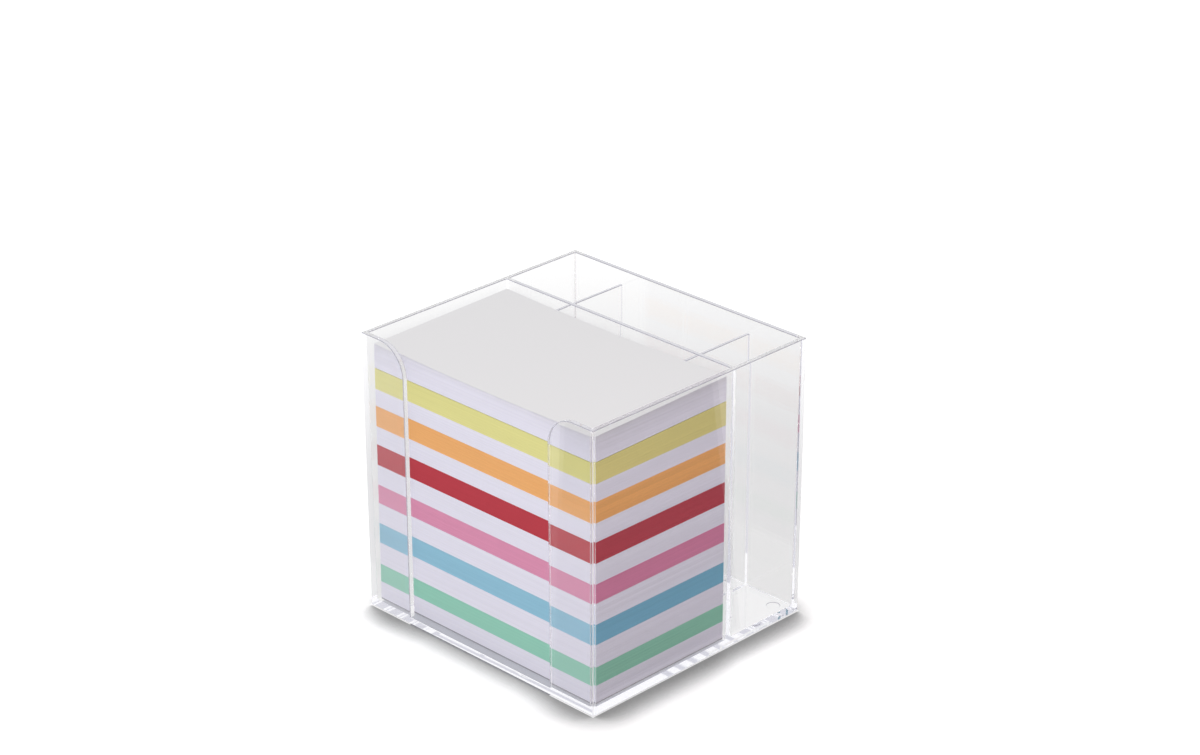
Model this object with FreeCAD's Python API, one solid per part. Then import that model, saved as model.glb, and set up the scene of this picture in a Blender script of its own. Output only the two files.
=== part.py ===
"""Clear memo holder, moulded in one piece of polystyrene, with its block of loose note sheets.

The holder is an open box on a flat base. A cross wall as high as the rim parts the sheet pocket at
the front (-Y) from the pen bay at the back, and two lower dividers make three bays of it. The front
wall is cut away down to the base, so that a finger reaches the edges of the sheets. The block of
sheets stands in the pocket as coloured packs with white ones between them, and one loose sheet lies
on top. Millimetres, +Z up, origin at the middle of the base's underside.
"""
import FreeCAD, Part
import math
import os

# Sheets and the block that they make
SHEET_WIDTH = 90.0
SHEET_DEPTH = 53.5
SHEET_THICKNESS = 0.1
CURL = 0.8                     # how far the ends of the top sheets stand up
REAR_LIFT = 1.0                # how far the rear of the top sheets stands up
LOOSE_SHEET_GAP = 0.2          # air under the loose top sheet
LOOSE_SHEET_SLIP = 0.6         # how far the loose top sheet has slid back on the block
STACK = (                      # from the base up: name and height of each pack
    ("white_sheets_1", 6.0),
    ("green_sheets", 6.0),
    ("white_sheets_2", 7.3),
    ("blue_sheets", 6.6),
    ("white_sheets_3", 6.8),
    ("pink_sheets", 6.2),
    ("white_sheets_4", 6.6),
    ("red_sheets", 6.8),
    ("white_sheets_5", 6.0),
    ("orange_sheets", 6.7),
    ("white_sheets_6", 5.6),
    ("yellow_sheets", 6.8),
    ("white_sheets_7", 6.5),
)

# Clearances of the block in its pocket, at the base, where the pocket is smallest
SIDE_CLEARANCE = 0.85
FRONT_CLEARANCE = 1.1
BACK_CLEARANCE = 0.5
SEAT_GAP = 0.1                 # under the lowest sheet

# Holder: walls are measured at the rim, and get thicker towards the base
HEIGHT = 91.0
OUTER_WALL = 1.6
CROSS_WALL = 1.4
DIVIDER_WALL = 1.0
BASE_THICKNESS = 2.2
PEN_BAY_DEPTH = 28.3
SIDE_BAY_WIDTH = 19.5
DIVIDER_DROP = 4.8             # from the rim down to the dividers' tops
OUTER_DRAFT_DEG = 0.2
INNER_DRAFT_DEG = 0.35
OUTER_CORNER_RADIUS = 0.3
INNER_CORNER_RADIUS = 0.2
FOOT_EDGE_RADIUS = 0.3

# Finger cut-out in the front wall
CUTOUT_WIDTH = 60.0
SHOULDER_RADIUS = 10.0

# Marks that the mould leaves
EJECTOR_DIAMETER = 4.0
EJECTOR_DEPTH = 0.15
EJECTOR_INSET = 4.0            # from the middle of a mark to the walls beside it
GATE_RECESS_DIAMETER = 7.0
GATE_RECESS_DEPTH = 0.2
GATE_DIAMETER = 1.6
GATE_HEIGHT = 0.15

OVERCUT = 1.0                  # how far a cutting solid runs past the faces that it opens
ROOT = 0.5                     # how far a divider runs into the walls that carry it

# Places that follow from the sizes above
stack_base = BASE_THICKNESS + SEAT_GAP
stack_top = stack_base + sum(pack_height for _, pack_height in STACK)
wall_slope = math.tan(math.radians(INNER_DRAFT_DEG))
floor_inset = (HEIGHT - BASE_THICKNESS) * wall_slope
pocket_width = SHEET_WIDTH + 2 * (SIDE_CLEARANCE + floor_inset)
pocket_depth = SHEET_DEPTH + FRONT_CLEARANCE + BACK_CLEARANCE + 2 * floor_inset
width = pocket_width + 2 * OUTER_WALL
depth = OUTER_WALL + pocket_depth + CROSS_WALL + PEN_BAY_DEPTH + OUTER_WALL
inner_x = width / 2 - OUTER_WALL
front_y = -depth / 2 + OUTER_WALL
pocket_back_y = front_y + pocket_depth
bay_front_y = pocket_back_y + CROSS_WALL
back_y = bay_front_y + PEN_BAY_DEPTH
divider_x = inner_x - SIDE_BAY_WIDTH - DIVIDER_WALL / 2
sheet_front_y = front_y + floor_inset + FRONT_CLEARANCE


def drafted_block(x_span, y_span, z_span, draft_deg):
    """A block whose spans hold at the rim's height, and whose four sides lean in towards the base."""
    slope = math.tan(math.radians(draft_deg))

    def level(z):
        inset = (HEIGHT - z) * slope
        xs = (x_span[0] + inset, x_span[1] - inset)
        ys = (y_span[0] + inset, y_span[1] - inset)
        return [FreeCAD.Vector(x, y, z) for x, y in
                ((xs[0], ys[0]), (xs[1], ys[0]), (xs[1], ys[1]), (xs[0], ys[1]))]

    low, high = level(z_span[0]), level(z_span[1])
    loops = [low[::-1], high]
    for i in range(4):
        j = (i + 1) % 4
        loops.append([low[i], low[j], high[j], high[i]])
    faces = [Part.Face(Part.makePolygon(loop + loop[:1])) for loop in loops]
    return Part.makeSolid(Part.makeShell(faces))


def upright_edges(solid):
    """The four edges that run from the bottom of a drafted block to its top."""
    box = solid.BoundBox
    return [edge for edge in solid.Edges if edge.BoundBox.ZLength > 0.9 * box.ZLength]


def bottom_edges(solid):
    """The edges round the underside of a solid that stands on z = 0."""
    return [edge for edge in solid.Edges if edge.BoundBox.ZMax < FOOT_EDGE_RADIUS / 2]


def outer_form():
    """The outside of the holder, a drafted block with rounded corners and a rounded foot."""
    block = drafted_block((-width / 2, width / 2), (-depth / 2, depth / 2), (0, HEIGHT), OUTER_DRAFT_DEG)
    block = block.makeFillet(OUTER_CORNER_RADIUS, upright_edges(block))
    return block.makeFillet(FOOT_EDGE_RADIUS, bottom_edges(block))


def pocket(y_span):
    """A drafted hollow as wide as the inside of the holder, from the base up through the rim."""
    z_span = (BASE_THICKNESS, HEIGHT + OVERCUT)
    hollow = drafted_block((-inner_x, inner_x), y_span, z_span, INNER_DRAFT_DEG)
    return hollow.makeFillet(INNER_CORNER_RADIUS, upright_edges(hollow))


def divider(x):
    """A plate between two pen bays, thicker towards the base and rooted in the walls round it."""
    top = HEIGHT - DIVIDER_DROP
    half_rim = DIVIDER_WALL / 2
    half_top = half_rim + (HEIGHT - top) * wall_slope
    half_base = half_rim + (HEIGHT - BASE_THICKNESS) * wall_slope
    profile = [
        FreeCAD.Vector(x - half_base, 0, BASE_THICKNESS),
        FreeCAD.Vector(x + half_base, 0, BASE_THICKNESS),
        FreeCAD.Vector(x + half_top, 0, top),
        FreeCAD.Vector(x - half_top, 0, top),
    ]
    plate = Part.Face(Part.makePolygon(profile + profile[:1]))
    plate.translate(FreeCAD.Vector(0, bay_front_y - ROOT, 0))
    return plate.extrude(FreeCAD.Vector(0, PEN_BAY_DEPTH + 2 * ROOT, 0))


def finger_cutout():
    """The opening in the front wall: straight sides up from the base, and a round shoulder each side."""
    half = CUTOUT_WIDTH / 2
    wide = half + SHOULDER_RADIUS
    shoulder_z = HEIGHT - SHOULDER_RADIUS
    arc_mid = SHOULDER_RADIUS * (1 - math.sqrt(0.5))

    def point(x, z):
        return FreeCAD.Vector(x, -depth / 2 - OVERCUT, z)

    def shoulder(side):
        middle = point(side * (half + arc_mid), HEIGHT - arc_mid)
        return Part.Arc(point(side * half, shoulder_z), middle, point(side * wide, HEIGHT)).toShape()

    over = HEIGHT + OVERCUT
    outline = [
        Part.makeLine(point(-half, BASE_THICKNESS), point(half, BASE_THICKNESS)),
        Part.makeLine(point(half, BASE_THICKNESS), point(half, shoulder_z)),
        shoulder(1),
        Part.makeLine(point(wide, HEIGHT), point(wide, over)),
        Part.makeLine(point(wide, over), point(-wide, over)),
        Part.makeLine(point(-wide, over), point(-wide, HEIGHT)),
        shoulder(-1),
        Part.makeLine(point(-half, shoulder_z), point(-half, BASE_THICKNESS)),
    ]
    wire = Part.Wire(Part.__sortEdges__(outline))
    reach = 2 * OVERCUT + OUTER_WALL + floor_inset
    return Part.Face(wire).extrude(FreeCAD.Vector(0, reach, 0))


def ejector_marks():
    """Shallow round marks in the floor, near the corners of the pocket and of the pen bays."""
    floor_x = inner_x - floor_inset - EJECTOR_INSET
    bay_x = divider_x - DIVIDER_WALL / 2 - floor_inset - EJECTOR_INSET
    rear_y = back_y - floor_inset - EJECTOR_INSET
    places = [(x, rear_y) for x in (-floor_x, -bay_x, bay_x, floor_x)]
    for y in (front_y + floor_inset + EJECTOR_INSET, pocket_back_y - floor_inset - EJECTOR_INSET):
        places += [(-floor_x, y), (floor_x, y)]
    low_z = BASE_THICKNESS - EJECTOR_DEPTH
    reach = EJECTOR_DEPTH + OVERCUT
    return [Part.makeCylinder(EJECTOR_DIAMETER / 2, reach, FreeCAD.Vector(x, y, low_z)) for x, y in places]


def gate_recess():
    """A ring-shaped dimple under the middle of the base, round the stub where the mould was filled."""
    dimple = Part.makeCylinder(GATE_RECESS_DIAMETER / 2, GATE_RECESS_DEPTH + OVERCUT,
                               FreeCAD.Vector(0, 0, -OVERCUT))
    stub = Part.makeCylinder(GATE_DIAMETER / 2, GATE_HEIGHT,
                             FreeCAD.Vector(0, 0, GATE_RECESS_DEPTH - GATE_HEIGHT))
    return dimple.cut(stub)


def holder():
    """The moulding: outer form, less the pocket and the pen bay, with the dividers and the cut-out."""
    body = outer_form()
    body = body.cut(pocket((front_y, pocket_back_y)))
    body = body.cut(pocket((bay_front_y, back_y)))
    body = body.fuse([divider(-divider_x), divider(divider_x)])
    body = body.cut(finger_cutout())
    body = body.cut(ejector_marks() + [gate_recess()])
    return body.removeSplitter()


def curled_line(middle_z):
    """An arc across the sheets, lowest at the middle and higher by the curl at both ends."""
    half = SHEET_WIDTH / 2
    ends = [FreeCAD.Vector(x, sheet_front_y, middle_z + CURL) for x in (-half, half)]
    return Part.Arc(ends[0], FreeCAD.Vector(0, sheet_front_y, middle_z), ends[1]).toShape()


def level_line(z):
    """A straight line across the sheets."""
    half = SHEET_WIDTH / 2
    return Part.makeLine(FreeCAD.Vector(-half, sheet_front_y, z), FreeCAD.Vector(half, sheet_front_y, z))


def sheets_between(low_line, high_line, rise=0):
    """The solid of all sheets between two lines along the block's front, risen by so much at the rear."""
    low_ends = [vertex.Point for vertex in low_line.Vertexes]
    high_ends = [vertex.Point for vertex in high_line.Vertexes]
    sides = [Part.makeLine(low, high) for low, high in zip(low_ends, high_ends)]
    wire = Part.Wire(Part.__sortEdges__([low_line, high_line] + sides))
    return Part.Face(wire).extrude(FreeCAD.Vector(0, SHEET_DEPTH, rise))


def fanned_sheets(low_z, high_z):
    """The solid of a pack whose sheets part towards the rear, which lifts all that lies on it."""
    rear_y = sheet_front_y + SHEET_DEPTH
    side = ((sheet_front_y, low_z), (rear_y, low_z), (rear_y, high_z + REAR_LIFT), (sheet_front_y, high_z))
    points = [FreeCAD.Vector(-SHEET_WIDTH / 2, y, z) for y, z in side]
    return Part.Face(Part.makePolygon(points + points[:1])).extrude(FreeCAD.Vector(SHEET_WIDTH, 0, 0))


def sheet_packs():
    """One solid for each pack of the block, by name. The last lies on a fanned one, and its ends curl up."""
    fanned_pack, top_pack = STACK[-2][0], STACK[-1][0]
    packs = {}
    low_z = stack_base
    for name, pack_height in STACK:
        high_z = low_z + pack_height
        if name == top_pack:
            packs[name] = sheets_between(level_line(low_z), curled_line(high_z), REAR_LIFT)
        elif name == fanned_pack:
            packs[name] = fanned_sheets(low_z, high_z)
        else:
            packs[name] = sheets_between(level_line(low_z), level_line(high_z))
        low_z = high_z
    return packs


def top_sheet():
    """The loose sheet that lies on the block and takes its curl."""
    low_z = stack_top + LOOSE_SHEET_GAP
    sheet = sheets_between(curled_line(low_z), curled_line(low_z + SHEET_THICKNESS), REAR_LIFT)
    sheet.translate(FreeCAD.Vector(0, LOOSE_SHEET_SLIP, 0))
    return sheet


parts = {"holder": holder(), "top_sheet": top_sheet()}
parts.update(sheet_packs())

os.makedirs("parts", exist_ok=True)
for name, solid in parts.items():
    solid.exportStep("parts/" + name + ".step")
print("holder", round(width, 2), "x", round(depth, 2), "x", round(HEIGHT, 2), "mm")
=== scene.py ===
import math
import random

import bmesh
import bpy
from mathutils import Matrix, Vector


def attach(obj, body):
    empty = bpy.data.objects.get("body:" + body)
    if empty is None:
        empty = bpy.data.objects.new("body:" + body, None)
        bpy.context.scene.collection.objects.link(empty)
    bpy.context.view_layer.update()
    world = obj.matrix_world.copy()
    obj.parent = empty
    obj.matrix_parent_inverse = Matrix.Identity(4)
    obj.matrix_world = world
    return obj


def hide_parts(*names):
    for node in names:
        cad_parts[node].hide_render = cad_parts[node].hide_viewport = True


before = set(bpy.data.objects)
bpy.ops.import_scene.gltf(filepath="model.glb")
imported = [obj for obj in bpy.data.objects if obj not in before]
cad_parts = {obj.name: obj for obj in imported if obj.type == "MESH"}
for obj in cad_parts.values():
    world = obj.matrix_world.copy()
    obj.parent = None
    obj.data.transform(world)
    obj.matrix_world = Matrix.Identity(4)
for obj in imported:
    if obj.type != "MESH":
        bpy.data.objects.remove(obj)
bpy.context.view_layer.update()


# ---------------------------------------------------------------------------------------------
# Holder. One injection moulding of clear polystyrene: base, four walls, a cross wall behind the
# sheets and two lower dividers between the pen bays. Every wall leans by the draft that lets it
# leave the mould, so it is thicker at the base than at the rim.
# ---------------------------------------------------------------------------------------------
RIM = 0.0910
FLOOR = 0.0022
OUTER = (0.04799, 0.04454)          # half width and half depth; these and the walls hold at the rim
WALL = 0.0016
CROSS_WALL = 0.0014
DIVIDER_WALL = 0.0010
DIVIDER_DROP = 0.0048               # from the rim down to the dividers' tops
PEN_BAY_DEPTH = 0.0283
SIDE_BAY_WIDTH = 0.0195
OUTER_DRAFT = math.tan(math.radians(0.2))
INNER_DRAFT = math.tan(math.radians(0.35))
OUTER_CORNER = 0.0003
POCKET_CORNER = 0.0002
BAY_CORNER = 0.0004
SOFT_EDGE = 0.0002
CUTOUT_HALF = 0.030
SHOULDER = 0.010
OVERCUT = 0.002                     # how far a cutting tool runs past the rim
ROOT = 0.0005                       # how far a divider runs into what carries it
MARK_RADIUS = 0.002
MARK_DEPTH = 0.00015
MARK_EDGE = 0.00012
MARK_INSET = 0.004                  # from the middle of an ejector mark to the walls beside it
GATE_RADIUS = 0.0035
GATE_DEPTH = 0.0002
STUB_RADIUS = 0.0008
STUB_HEIGHT = 0.00015
SMOOTH_ANGLE = math.radians(35)     # a sharper edge than this stays an edge

INNER_X = OUTER[0] - WALL
BAY_Y = (OUTER[1] - WALL - PEN_BAY_DEPTH, OUTER[1] - WALL)
POCKET_Y = (WALL - OUTER[1], BAY_Y[0] - CROSS_WALL)
DIVIDER_X = (INNER_X - SIDE_BAY_WIDTH - DIVIDER_WALL, INNER_X - SIDE_BAY_WIDTH)
DIVIDER_TOP = RIM - DIVIDER_DROP
FLOOR_INSET = (RIM - FLOOR) * INNER_DRAFT


def clear_selection():
    """Leaves object mode's selection empty, so that an operator meets only what is added next."""
    bpy.ops.object.select_all(action="DESELECT")


def into_mesh(name):
    """Names the object that was just added and moves its place and size into its mesh."""
    piece = bpy.context.object
    piece.name = name
    bpy.ops.object.transform_apply(location=True, rotation=True, scale=True)
    return piece


def box(name, centre, size):
    clear_selection()
    bpy.ops.mesh.primitive_cube_add(size=1, location=centre, scale=size)
    return into_mesh(name)


def disc(name, x, y, z_span, radius, vertices):
    clear_selection()
    bpy.ops.mesh.primitive_cylinder_add(vertices=vertices, radius=radius, depth=z_span[1] - z_span[0],
                                        location=(x, y, sum(z_span) / 2))
    return into_mesh(name)


def edit(piece):
    """Opens a piece in edit mode with nothing selected."""
    bpy.context.view_layer.objects.active = piece
    bpy.ops.object.mode_set(mode="EDIT")
    bpy.ops.mesh.select_all(action="DESELECT")


def close_edit():
    bpy.ops.object.mode_set(mode="OBJECT")


def pick(piece, kind, test):
    """Selects those of the piece's vertices (VERT) or edges (EDGE) for which the test holds."""
    bpy.ops.mesh.select_mode(type=kind)
    mesh = bmesh.from_edit_mesh(piece.data)
    for item in mesh.verts if kind == "VERT" else mesh.edges:
        item.select_set(bool(test(item)))
    mesh.select_flush_mode()
    bmesh.update_edit_mesh(piece.data)


def round_off(radius, segments):
    """Rounds the edges that are selected."""
    bpy.ops.mesh.bevel(offset=radius, segments=segments, affect="EDGES", clamp_overlap=False)


def apply_modifier(piece, kind, **settings):
    clear_selection()
    bpy.context.view_layer.objects.active = piece
    modifier = piece.modifiers.new(kind.lower(), kind)
    for setting, value in settings.items():
        setattr(modifier, setting, value)
    bpy.ops.object.modifier_apply(modifier=modifier.name)


def carve(body, tool, operation="DIFFERENCE"):
    """Cuts a tool out of a body, or welds it on, and throws the tool away."""
    apply_modifier(body, "BOOLEAN", operation=operation, solver="EXACT", object=tool)
    bpy.data.objects.remove(tool, do_unlink=True)


def smooth(piece):
    clear_selection()
    piece.select_set(True)
    bpy.context.view_layer.objects.active = piece
    bpy.ops.object.shade_smooth_by_angle(angle=SMOOTH_ANGLE)


def upright(edge):
    a, b = (vertex.co for vertex in edge.verts)
    return abs(a.z - b.z) > 0.9 * (a - b).length


def drafted_block(name, x_span, y_span, z_span, draft, corner=0, round_foot=False):
    """A block whose spans hold at the rim, with sides that lean in below it.

    The corner radius rounds its uprights and, if told to, the edges round its underside.
    """
    sink = (RIM - z_span[0]) * draft
    rise = (z_span[1] - RIM) * draft
    low = Vector((x_span[0] + sink, y_span[0] + sink, z_span[0]))
    high = Vector((x_span[1] - sink, y_span[1] - sink, z_span[1]))
    block = box(name, (low + high) / 2, high - low)
    edit(block)
    pick(block, "VERT", lambda v: v.co.z > (low.z + high.z) / 2)
    wider = [(s[1] - s[0] + 2 * rise) / (h - l) for s, l, h in zip((x_span, y_span), low, high)]
    bpy.ops.transform.resize(value=(wider[0], wider[1], 1), center_override=(low + high) / 2)
    if corner:
        pick(block, "EDGE",
             lambda e: upright(e) or round_foot and max(v.co.z for v in e.verts) < low.z + 1e-6)
        round_off(corner, 4)
    close_edit()
    return block


holder = drafted_block("moulded_holder", (-OUTER[0], OUTER[0]), (-OUTER[1], OUTER[1]), (0, RIM),
                       OUTER_DRAFT, OUTER_CORNER, True)
inside_x, inside_z = (-INNER_X, INNER_X), (FLOOR, RIM + OVERCUT)
carve(holder, drafted_block("sheet_pocket", inside_x, POCKET_Y, inside_z, INNER_DRAFT, POCKET_CORNER))
carve(holder, drafted_block("pen_bays", inside_x, BAY_Y, inside_z, INNER_DRAFT, BAY_CORNER, True))

# The dividers are rooted in the base and in the walls round them, and stop below the rim.
for side in (-1, 1):
    faces = sorted(side * x for x in DIVIDER_X)
    carve(holder, drafted_block("divider", faces, (BAY_Y[0] - ROOT, BAY_Y[1] + ROOT),
                                (FLOOR - ROOT, DIVIDER_TOP), -INNER_DRAFT), "UNION")


def on_cutout_corner(edge):
    """Whether an edge is one of the two at which the sides of the finger cut-out meet the rim."""
    return all(abs(abs(v.co.x) - CUTOUT_HALF) < 1e-5 and abs(v.co.z - RIM) < 1e-5
               and v.co.y < POCKET_Y[0] + 1e-4 for v in edge.verts)


# The finger cut-out goes down to the floor of the pocket, and its upper corners are rounded over.
CUTOUT_TOOL_DEPTH = 0.007
carve(holder, box("finger_cutout", (0, -OUTER[1], sum(inside_z) / 2),
                  (2 * CUTOUT_HALF, CUTOUT_TOOL_DEPTH, inside_z[1] - inside_z[0])))
edit(holder)
pick(holder, "EDGE", on_cutout_corner)
round_off(SHOULDER, 36)
bpy.ops.mesh.select_all(action="SELECT")
bpy.ops.mesh.dissolve_limited(angle_limit=math.radians(0.05))

# The mould leaves the outward edges a little round.
pick(holder, "EDGE", lambda e: e.is_convex and e.calc_face_angle(0) > SMOOTH_ANGLE
     and min(v.co.z for v in e.verts) > FLOOR - 1e-5)
round_off(SOFT_EDGE, 2)
close_edit()

# Ejector pins leave shallow round marks in the floor, and the gate leaves a dimple with a stub.
floor_x = INNER_X - FLOOR_INSET - MARK_INSET
bay_x = DIVIDER_X[0] - FLOOR_INSET - MARK_INSET
marks = [(x, BAY_Y[1] - FLOOR_INSET - MARK_INSET) for x in (-floor_x, -bay_x, bay_x, floor_x)]
marks += [(x, y) for x in (-floor_x, floor_x)
          for y in (POCKET_Y[0] + FLOOR_INSET + MARK_INSET, POCKET_Y[1] - FLOOR_INSET - MARK_INSET)]
for x, y in marks:
    carve(holder, disc("ejector_mark", x, y, (FLOOR - MARK_DEPTH, FLOOR + 0.001), MARK_RADIUS, 40))
edit(holder)
pick(holder, "EDGE", lambda e: e.is_convex and e.calc_length() < 0.0004 and e.calc_face_angle(0) > 1.2
     and all(abs(v.co.z - FLOOR) < 1e-6 for v in e.verts))
round_off(MARK_EDGE, 2)
close_edit()
carve(holder, disc("gate_dimple", 0, 0, (-0.001, GATE_DEPTH), GATE_RADIUS, 48))
carve(holder, disc("gate_stub", 0, 0, (GATE_DEPTH - STUB_HEIGHT, GATE_DEPTH + 0.0001), STUB_RADIUS, 24),
      "UNION")

# The rims, the outer corners and all rounded edges, the edges of the ejector marks too, carry painted
# light and shade. A mask keeps how much: 1 on a rounded edge, which gets painted shade in grey, 0.5 on
# a rim or corner, which gets painted light in white, 0 on a wall.
edges = holder.data.attributes.new("edge", "FLOAT", "FACE")
for face in holder.data.polygons:
    middle = face.center
    x, y, z = (abs(part) for part in face.normal)
    at_rim = middle.z > DIVIDER_TOP - 0.0005 and face.normal.z > 0.1
    at_cutout = (middle.y < POCKET_Y[0] + 0.0001 and middle.z > FLOOR
                 and abs(middle.x) < CUTOUT_HALF + SHOULDER)
    outer_corner = min(x, y) > 0.12 and z < 0.1 and middle.xy.length > 0.06
    on_mark = abs(middle.z - FLOOR) < MARK_DEPTH - 0.00001 and face.area < 1e-7 and z < 0.98
    rounded = max(x, y, z) < 0.97 and (at_rim or at_cutout) and not (at_cutout and y < 0.1)
    edges.data[face.index].value = 1 if rounded or on_mark else 0.5 if at_rim or outer_corner else 0

smooth(holder)
apply_modifier(holder, "WEIGHTED_NORMAL", keep_sharp=True, weight=100)


def build_in(tree):
    """Opens a node tree: what the functions below make goes into the tree that was opened last."""
    global nodes
    nodes = tree.nodes


def material(name):
    made = bpy.data.materials.new(name)
    made.use_nodes = True
    build_in(made.node_tree)
    return made


def feed(socket, value):
    """Sets an input to a number or colour, or joins it to another node's output."""
    if isinstance(value, bpy.types.NodeSocket):
        socket.id_data.links.new(value, socket)
    else:
        socket.default_value = value


def add(kind, inputs=None):
    """A new node with its inputs set by name."""
    node = nodes.new("ShaderNode" + kind)
    for name, value in (inputs or {}).items():
        feed(node.inputs[name], value)
    return node


def step(operation, a, b=0):
    """One sum: each input is a number or another node's output."""
    node = nodes.new("ShaderNodeMath")
    node.operation = operation
    feed(node.inputs[0], a)
    feed(node.inputs[1], b)
    return node.outputs[0]


def blend(factor, a, b):
    """The colour that lies between two others, as far along as the factor says."""
    node = nodes.new("ShaderNodeMix")
    node.data_type = "RGBA"
    for name, value in (("Factor", factor), ("A", a), ("B", b)):
        feed(node.inputs[name], value)
    return node.outputs["Result"]


def either(factor, first, second):
    """The first shader where the factor is 0, and the second one where it is 1."""
    node = add("MixShader", {"Fac": factor})
    feed(node.inputs[1], first)
    feed(node.inputs[2], second)
    return node.outputs["Shader"]


def ease(value, start, end, low=0, high=1):
    """Goes from low to high while the value goes from start to end, and is held outside that."""
    node = add("MapRange", {"Value": value, "From Min": start, "From Max": end, "To Min": low,
                            "To Max": high})
    return node.outputs["Result"]


def noise(where, scale, detail):
    return add("TexNoise", {"Vector": where, "Scale": scale, "Detail": detail}).outputs["Fac"]


def relief(height, strength, distance):
    node = add("Bump", {"Height": height, "Strength": strength, "Distance": distance})
    return node.outputs["Normal"]


def axes_of(vector):
    return add("SeparateXYZ", {"Vector": vector}).outputs


# Clear polystyrene: polished and a little wavy from moulding, with painted light on its rims and
# corners and painted shade on its rounded edges.
POLYSTYRENE_IOR = 1.58
clear_plastic = material("clear_polystyrene")
shell, output = nodes["Principled BSDF"], nodes["Material Output"]
feed(shell.inputs["Transmission Weight"], 1)
# A second, opaque plastic carries the painted light and shade on the edges: white on rims and corners,
# grey on rounded edges.
painted_edge_plastic = add("BsdfPrincipled")
mask = add("Attribute")
mask.attribute_name = "edge"
painted_edge_mask = mask.outputs["Fac"]
# Painted shade: rounded edges are tinted grey, while rims and corners stay white.
tint = blend(step("SUBTRACT", step("MULTIPLY", painted_edge_mask, 2), 1), (1.0, 1.0, 1.0, 1), (0.50, 0.50, 0.57, 1))
where = add("TexCoord").outputs["Object"]
wavy = relief(noise(where, 60, 1), 0.002, 0.0001)
for plastic in (shell, painted_edge_plastic):
    feed(plastic.inputs["IOR"], POLYSTYRENE_IOR)
    feed(plastic.inputs["Specular Tint"], (0.7, 0.7, 0.7, 1))
    feed(plastic.inputs["Roughness"], 0.0)
    feed(plastic.inputs["Base Color"], tint)
    feed(plastic.inputs["Normal"], wavy)
surface = either(step("MULTIPLY", painted_edge_mask, 0.7), shell.outputs["BSDF"], painted_edge_plastic.outputs["BSDF"])

# What has been mirrored to and fro inside for long ends in a painted glow, which stands for the even
# white of the surroundings and is dimmer and bluer in the base.
LONG_PATH = 9
path = add("LightPath").outputs
x, _, z = axes_of(where)
in_base = step("LESS_THAN", z, FLOOR + 0.0001)
# Painted light: the plastic glows here, though it is no lamp.
long_path_glow = add("Emission", {"Color": blend(in_base, (0.75, 0.75, 0.80, 1), (1.1, 1.1, 1.1, 1))})
lost = step("GREATER_THAN", path["Ray Depth"], LONG_PATH)
surface = either(lost, surface, long_path_glow.outputs["Emission"])

# Lamp light and light off the paper pass straight through the walls. So does most of what would
# else be caught in a corner post at the first mirroring, so that the sheets show through it.
POST_X = 0.044
gloss = add("Fresnel", {"IOR": POLYSTYRENE_IOR}).outputs["Fac"]
inner_side = add("NewGeometry").outputs["Backfacing"]
caught = step("MULTIPLY", step("GREATER_THAN", gloss, 0.99), inner_side)
post = step("MULTIPLY", step("GREATER_THAN", step("ABSOLUTE", x), POST_X), step("SUBTRACT", 1, in_base))
first = step("LESS_THAN", path["Ray Depth"], 2)
leak = step("MULTIPLY", step("MULTIPLY", caught, post), step("MULTIPLY", first, 0.85))
lamp_light = step("MAXIMUM", path["Is Shadow Ray"], path["Is Diffuse Ray"])
passing = add("BsdfTransparent", {"Color": (0.975, 0.975, 0.98, 1)})
surface = either(step("MAXIMUM", lamp_light, leak), surface, passing.outputs["BSDF"])
feed(output.inputs["Surface"], surface)
depth = add("VolumeAbsorption", {"Color": (0.80, 0.80, 0.88, 1), "Density": 8})
feed(output.inputs["Volume"], depth.outputs["Volume"])

holder.data.materials.append(clear_plastic)
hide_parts("holder")
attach(holder, "holder_body")


# ---------------------------------------------------------------------------------------------
# Block of note sheets. Loose sheets of uncoated paper, guillotined to 90 by 53.5 mm and stacked by
# colour, white between the colours. Each sheet lies a little out of line with its neighbours.
# ---------------------------------------------------------------------------------------------
SHEET = (0.090, 0.0535)
FRONT_Y = -0.0413
SEAT_GAP = 0.0001                    # under the lowest sheet
PITCH = 0.0001                       # from sheet to sheet, a little more than the paper's thickness
PAPER_SHARE = 0.92                   # of the pitch; the rest is air
PAPER_MIDDLE = 0.47                  # of the pitch, up to the middle of the paper
CURL = 0.0008
REAR_LIFT = 0.0010
SLIP = 0.0005
SPREAD = 0.00003                     # how far the sheets lie out of line

# Shared by all the papers: their colour by side, where the cut sides and ends carry painted light
# and shade, with fine lines of sheet edges, and their fibres.
grain = bpy.data.node_groups.new("paper_grain", "ShaderNodeTree")
for socket in ("Face Color", "Shaded Side Color", "Shaded End Color"):
    grain.interface.new_socket(socket, in_out="INPUT", socket_type="NodeSocketColor")
grain.interface.new_socket("Line Strength", in_out="INPUT", socket_type="NodeSocketFloat")
grain.interface.new_socket("Color", in_out="OUTPUT", socket_type="NodeSocketColor")
grain.interface.new_socket("Normal", in_out="OUTPUT", socket_type="NodeSocketVector")
build_in(grain)
given = nodes.new("NodeGroupInput").outputs
result = nodes.new("NodeGroupOutput").inputs
where = add("TexCoord").outputs["Object"]
x, _, z = axes_of(add("NewGeometry").outputs["Normal"])
end_on = step("ABSOLUTE", x)

# The lines darken the sheet edges, as tone that differs at random and as painted shade between the
# sheets, and more so on the short ends than on the long sides. The lines are noise that is drawn out
# level, to about the height of a few sheets.
level_lines = add("Mapping", {"Vector": where, "Scale": (8, 8, 2400)})
shown = step("ADD", step("MULTIPLY", end_on, 0.07), 0.03)
darkest = step("SUBTRACT", 1, step("MULTIPLY", shown, given["Line Strength"]))
lines = ease(noise(level_lines.outputs["Vector"], 1, 3), 0.3, 0.7, darkest, 1.03)

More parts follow.
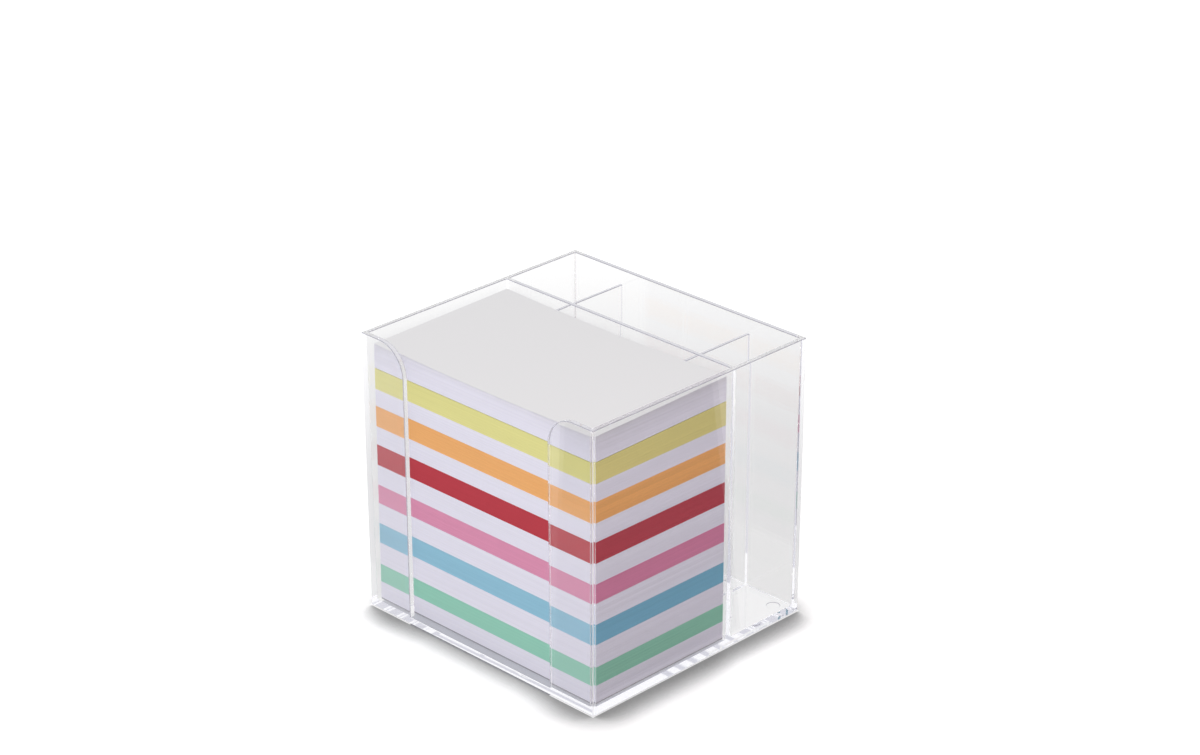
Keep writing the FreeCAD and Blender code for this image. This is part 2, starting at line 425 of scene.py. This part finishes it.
# The lowest sheets of the block are painted darker, as shade between the wall and the floor.
shade = ease(axes_of(where)["Z"], FLOOR + 0.0004, FLOOR + 0.0006, 0.35)
cut = nodes.new("ShaderNodeVectorMath")
cut.operation = "SCALE"
# Painted light and shade: the cut sides and ends take colours of their own, darker than the faces and
# bluer on white paper.
feed(cut.inputs[0], blend(end_on, given["Shaded Side Color"], given["Shaded End Color"]))
feed(cut.inputs["Scale"], step("MULTIPLY", lines, shade))
feed(result["Color"], blend(step("ABSOLUTE", z), cut.outputs["Vector"], given["Face Color"]))
feed(result["Normal"], relief(noise(where, 900, 4), 0.25, 0.00005))


def paper(name, face, side, end, line_strength):
    """Uncoated paper, with a colour each for its faces, its long cut sides and its short ends, the last
    two with painted light and shade.
    """
    made = material(name)
    shell = nodes["Principled BSDF"]
    look = add("Group")
    look.node_tree = grain
    for socket, colour in (("Face Color", face), ("Shaded Side Color", side), ("Shaded End Color", end)):
        feed(look.inputs[socket], (*colour, 1))
    feed(look.inputs["Line Strength"], line_strength)
    feed(shell.inputs["Roughness"], 0.9)
    feed(shell.inputs["Specular IOR Level"], 0.25)
    feed(shell.inputs["Base Color"], look.outputs["Color"])
    feed(shell.inputs["Normal"], look.outputs["Normal"])
    return made


def sheets(name, base, count, curl, lift, slip, seed):
    """A pack of sheets: one sheet, arrayed upwards, then each moved a little out of line.

    Towards the last sheet the ends curl up and the sheets slip to the left and back. The two lifts
    are how far the rear of the first and of the last sheet stands up.
    """
    pack = box(name, (0, FRONT_Y + SHEET[1] / 2, base + PAPER_MIDDLE * PITCH),
               (*SHEET, PAPER_SHARE * PITCH))
    if curl:
        edit(pack)
        for at in range(1, 16):
            bpy.ops.mesh.select_all(action="SELECT")
            bpy.ops.mesh.bisect(plane_co=(SHEET[0] * (at / 16 - 0.5), 0, 0), plane_no=(1, 0, 0))
        close_edit()
    per_sheet = len(pack.data.vertices)
    apply_modifier(pack, "ARRAY", use_relative_offset=False, use_constant_offset=True,
                   constant_offset_displace=(0, 0, PITCH), count=count)
    chance = random.Random(seed)
    drift = [chance.uniform(-0.5, 0.5) * SPREAD for _ in range(3)]
    for number in range(count):
        drift = [0.88 * d + chance.uniform(-0.35, 0.35) * SPREAD for d in drift]
        shift = [d + chance.uniform(-0.3, 0.3) * SPREAD for d in drift]
        share = (number + 1) / count
        end_lift = curl * share ** 2.5
        slipped = slip * share ** 14
        rear_lift = lift[0] + (lift[1] - lift[0]) * share
        for vertex in pack.data.vertices[number * per_sheet:(number + 1) * per_sheet]:
            across = vertex.co.x / (SHEET[0] / 2)
            along = (vertex.co.y - FRONT_Y) / SHEET[1]
            vertex.co.x += shift[0] + shift[2] * (along - 0.5) - slipped
            vertex.co.y += shift[1] - 0.6 * shift[2] * across + slipped
            vertex.co.z += end_lift * across * across + rear_lift * along
    return pack


PACKS = (                            # from the base up: node, sheets, paper
    ("white_sheets_1", 60, "white"),
    ("green_sheets", 60, "green"),
    ("white_sheets_2", 73, "white"),
    ("blue_sheets", 66, "blue"),
    ("white_sheets_3", 68, "white"),
    ("pink_sheets", 62, "pink"),
    ("white_sheets_4", 66, "white"),
    ("red_sheets", 68, "red"),
    ("white_sheets_5", 60, "white"),
    ("orange_sheets", 67, "orange"),
    ("white_sheets_6", 56, "white"),
    ("yellow_sheets", 68, "yellow"),
    ("white_sheets_7", 65, "white"),
)
PAPERS = {                           # colour of faces, long sides and short ends, the last two with painted light and shade; strength of lines
    "white": paper("white_paper", (0.86, 0.86, 0.87), (0.80, 0.79, 0.90), (0.80, 0.79, 0.90), 1.0),
    "yellow": paper("yellow_paper", (0.80, 0.77, 0.33), (0.77, 0.74, 0.31), (0.77, 0.69, 0.27), 0.9),
    "orange": paper("orange_paper", (0.88, 0.47, 0.18), (0.87, 0.45, 0.17), (0.88, 0.44, 0.15), 0.9),
    "red": paper("red_paper", (0.52, 0.06, 0.08), (0.50, 0.05, 0.07), (0.49, 0.055, 0.08), 0.8),
    "pink": paper("pink_paper", (0.76, 0.32, 0.48), (0.73, 0.30, 0.46), (0.70, 0.24, 0.40), 1.0),
    "blue": paper("blue_paper", (0.31, 0.57, 0.72), (0.30, 0.56, 0.71), (0.20, 0.47, 0.64), 1.0),
    "green": paper("green_paper", (0.34, 0.66, 0.52), (0.32, 0.65, 0.52), (0.29, 0.62, 0.47), 1.0),
}

# The yellow sheets part towards the rear, and two fewer of them leave room for that. The last pack
# lies on them, its ends curl up, and its upper sheets have slipped.
FANNED, LAST = "yellow_sheets", "white_sheets_7"
level = FLOOR + SEAT_GAP
for number, (node, count, colour) in enumerate(PACKS):
    curl, slip = (CURL, SLIP) if node == LAST else (0, 0)
    lift = (REAR_LIFT * (node == LAST), REAR_LIFT * (node in (FANNED, LAST)))
    count_here = count - 2 * (node == FANNED)
    pack = sheets("loose_" + node, level, count_here, curl, lift, slip, 7 + number)
    pack.data.materials.append(PAPERS[colour])
    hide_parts(node)
    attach(pack, "sheet_block")
    level += count * PITCH


# ---------------------------------------------------------------------------------------------
# Top sheet. One loose sheet of the same white paper, which has slid back on the block and whose two
# ends stand up a little.
# ---------------------------------------------------------------------------------------------
TOP_THICKNESS = 0.0001
TOP_GAP = 0.0001                     # under the sheet, along its middle

clear_selection()
bpy.ops.mesh.primitive_grid_add(x_subdivisions=48, y_subdivisions=24, size=1)
bpy.context.object.scale = (*SHEET, 1)
bpy.context.object.location = (-SLIP, FRONT_Y + SHEET[1] / 2 + SLIP, level + TOP_GAP + TOP_THICKNESS / 2)
top_sheet = into_mesh("loose_top_sheet")
for vertex in top_sheet.data.vertices:
    across = (vertex.co.x + SLIP) / (SHEET[0] / 2)
    vertex.co.z += CURL * across * across + REAR_LIFT * (vertex.co.y - FRONT_Y) / SHEET[1]
apply_modifier(top_sheet, "SOLIDIFY", thickness=TOP_THICKNESS, offset=0)
top_sheet.data.materials.append(PAPERS["white"])
smooth(top_sheet)
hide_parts("top_sheet")
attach(top_sheet, "loose_sheet")


# ---------------------------------------------------------------------------------------------
# Studio: a white floor that keeps the shadow, soft lamps, two cards that only the clear walls
# mirror, and the camera.
# ---------------------------------------------------------------------------------------------
clear_selection()
bpy.ops.mesh.primitive_plane_add(size=30, location=(0, 0, -0.0001))
ground = bpy.context.object
ground.name = "studio_floor"
floor_white = material("studio_floor")
shell = nodes["Principled BSDF"]
feed(shell.inputs["Roughness"], 1)
feed(shell.inputs["Specular IOR Level"], 0)


def seen_glow(direct, through, mirrored, scattered):
    """Strength by the kind of ray: direct, through the clear walls, mirrored there, or off paper."""
    path = add("LightPath").outputs
    total = 0
    for ray, amount in (("Is Camera Ray", direct), ("Is Transmission Ray", through),
                        ("Is Glossy Ray", mirrored), ("Is Diffuse Ray", scattered)):
        total = step("MAXIMUM", total, step("MULTIPLY", path[ray], amount))
    return total


# Away from the object the glow grows, so that the floor is as white at the frame's edge.
where = add("TexCoord").outputs["Object"]
reach = nodes.new("ShaderNodeVectorMath")
reach.operation = "LENGTH"
feed(reach.inputs[0], where)
farther = ease(reach.outputs["Value"], 0.15, 0.8, 1.0, 3.0)
glow = step("MULTIPLY", seen_glow(0.55, 0.65, 0.20, 0.14), farther)

# A shadow painted from ambient occlusion where the holder meets the floor, as the camera sees it: it
# lies on the right and in front, and ends within some millimetres.
SHADOW_REACH = 0.0125
lean = Vector((-0.40, 0.25, 1.0)).normalized()
tilt = add("CombineXYZ", {"X": lean.x, "Y": lean.y, "Z": lean.z})
near = add("AmbientOcclusion", {"Distance": SHADOW_REACH, "Normal": tilt.outputs["Vector"]})
near.samples = 8
clear_of = ease(near.outputs["AO"], 0.42, 0.94)
lit = step("ADD", step("MULTIPLY", step("POWER", clear_of, 1.4), 0.78), 0.22)


def all_of(*masks):
    """1 where each of the masks is 1."""
    total = masks[0]
    for mask in masks[1:]:
        total = step("MULTIPLY", total, mask)
    return total


# Through the clear base the floor is painted lighter, but for a line of painted shade along the block's
# foot and for the ledge in front, which are painted darker and bluer.
FOOT_LINE = 0.003
x, y, _ = axes_of(where)
off_x = step("ABSOLUTE", x)
base = all_of(step("LESS_THAN", off_x, OUTER[0]), step("LESS_THAN", step("ABSOLUTE", y), OUTER[1]))
under_block = all_of(step("LESS_THAN", off_x, SHEET[0] / 2), step("GREATER_THAN", y, POCKET_Y[0]),
                     step("LESS_THAN", y, POCKET_Y[1]))
well_inside = all_of(step("LESS_THAN", off_x, SHEET[0] / 2 - FOOT_LINE),
                     step("GREATER_THAN", y, POCKET_Y[0] + FOOT_LINE))
foot = all_of(under_block, step("SUBTRACT", 1, well_inside))
ledge = all_of(step("LESS_THAN", off_x, CUTOUT_HALF), step("LESS_THAN", y, POCKET_Y[0]))
painted_shade_under_base = all_of(base, step("MAXIMUM", foot, ledge))
painted_light_under_base = step("SUBTRACT", base, painted_shade_under_base)
path = add("LightPath").outputs
through = step("MAXIMUM", path["Is Transmission Ray"], path["Is Glossy Ray"])
through = step("MAXIMUM", through, path["Is Diffuse Ray"])
lit = step("MAXIMUM", lit, all_of(through, step("SUBTRACT", 1, step("MULTIPLY", painted_shade_under_base, 0.30))))
albedo = step("SUBTRACT", 0.8, step("MULTIPLY", path["Is Transmission Ray"], 0.6))
feed(shell.inputs["Base Color"], step("MULTIPLY", lit, albedo))
# Painted shade: the floor along the block's foot and under the ledge glows bluer.
feed(shell.inputs["Emission Color"], blend(painted_shade_under_base, (1, 1, 1, 1), (0.86, 0.88, 1, 1)))
# Painted light: the floor under the open base glows brighter.
bright = step("MAXIMUM", lit, step("MULTIPLY", painted_light_under_base, 1.2))
feed(shell.inputs["Emission Strength"], step("MULTIPLY", glow, bright))
ground.data.materials.append(floor_white)

world = bpy.data.worlds.new("studio")
bpy.context.scene.world = world
world.use_nodes = True
build_in(world.node_tree)
backdrop = nodes["Background"]
feed(backdrop.inputs["Color"], (1, 1, 1, 1))
feed(backdrop.inputs["Strength"], step("MAXIMUM", seen_glow(1.0, 0.95, 0.5, 0.30), 0.30))


def lamp(name, place, aim, width, power, colour):
    light = bpy.data.lights.new(name, "AREA")
    light.shape = "SQUARE"
    light.size = width
    light.energy = power
    light.color = colour
    stand = bpy.data.objects.new(name, light)
    bpy.context.collection.objects.link(stand)
    stand.location = place
    stand.rotation_mode = "QUATERNION"
    stand.rotation_quaternion = (Vector(aim) - Vector(place)).to_track_quat("-Z", "Y")


lamp("key_lamp", (0.05, -1.1, 0.8), (0, 0, 0.04), 0.5, 7.1, (1.0, 0.99, 1.0))
lamp("top_lamp", (-0.35, 0.30, 1.2), (0, 0, 0.04), 0.30, 4.6, (1.0, 1.0, 1.0))
lamp("side_lamp", (0.35, -0.08, 0.22), (0.045, 0, 0.065), 0.12, 0.29, (1.0, 0.84, 0.83))


def mirror_card(name, x_span, y_span, x_by_y, y_by_x):
    """A card just over the floor, slanted along x by its depth or along y by its width.

    Only mirrors show it, and they do so only at the first mirroring. Its colour is still to be fed.
    """
    clear_selection()
    bpy.ops.mesh.primitive_plane_add(size=1)
    bpy.context.object.scale = (x_span[1] - x_span[0], y_span[1] - y_span[0], 1)
    bpy.context.object.location = (sum(x_span) / 2, sum(y_span) / 2, 0.0005)
    made = into_mesh(name)
    for vertex in made.data.vertices:
        from_left, from_rear = vertex.co.x - x_span[0], vertex.co.y - y_span[1]
        vertex.co.x += x_by_y * from_rear
        vertex.co.y += y_by_x * from_left
    made.visible_camera = False
    made.visible_diffuse = False
    made.visible_shadow = False
    made.data.materials.append(material(name))
    shell = nodes["Principled BSDF"]
    feed(shell.inputs["Roughness"], 1)
    mirrored = step("COMPARE", add("LightPath").outputs["Glossy Depth"], 1)
    shown = either(mirrored, add("BsdfTransparent").outputs["BSDF"], shell.outputs["BSDF"])
    feed(nodes["Material Output"].inputs["Surface"], shown)
    return made, shell.inputs["Base Color"]


# A dark card lies where the right-hand wall mirrors the floor, which keeps the shine off that wall.
card, colour = mirror_card("dark_card", (0.052, 0.212), (POCKET_Y[0], POCKET_Y[1] + 0.010), 0, 1)
feed(colour, (0.1, 0.1, 0.11, 1))

# A grey card, darker at its far end, does the same for the strip of front wall right of the cut-out.
card, colour = mirror_card("grey_card", (CUTOUT_HALF, OUTER[0]), (-0.1855, -0.0455), 0.987, 0)
feed(colour, ease(axes_of(add("TexCoord").outputs["Object"])["Y"], -0.150, -0.120, 0.05, 0.75))

# The camera looks down on the front right corner. Its axis passes a little beside the aim.
AIM = Vector((0, 0, 0.0455))
DISTANCE = 0.9663
ASIDE = 0.00485
ABOVE = 0.0288
camera = bpy.data.objects.new("camera", bpy.data.cameras.new("camera"))
bpy.context.collection.objects.link(camera)
camera.data.sensor_width = 36
camera.data.lens = 96.87
azimuth, elevation = math.radians(44.63), math.radians(24.78)
back = Vector((math.sin(azimuth) * math.cos(elevation), -math.cos(azimuth) * math.cos(elevation),
               math.sin(elevation)))
right = Vector((math.cos(azimuth), math.sin(azimuth), 0))
camera.location = AIM + DISTANCE * back + ASIDE * right + ABOVE * back.cross(right)
camera.rotation_mode = "QUATERNION"
camera.rotation_quaternion = (-back).to_track_quat("-Z", "Y")
camera.data.clip_start = 0.01
camera.data.clip_end = 100
bpy.context.scene.camera = camera

scene = bpy.context.scene
scene.view_settings.view_transform = "Standard"
scene.cycles.max_bounces = 16
scene.cycles.glossy_bounces = 16
scene.cycles.transmission_bounces = 16
scene.cycles.transparent_max_bounces = 32
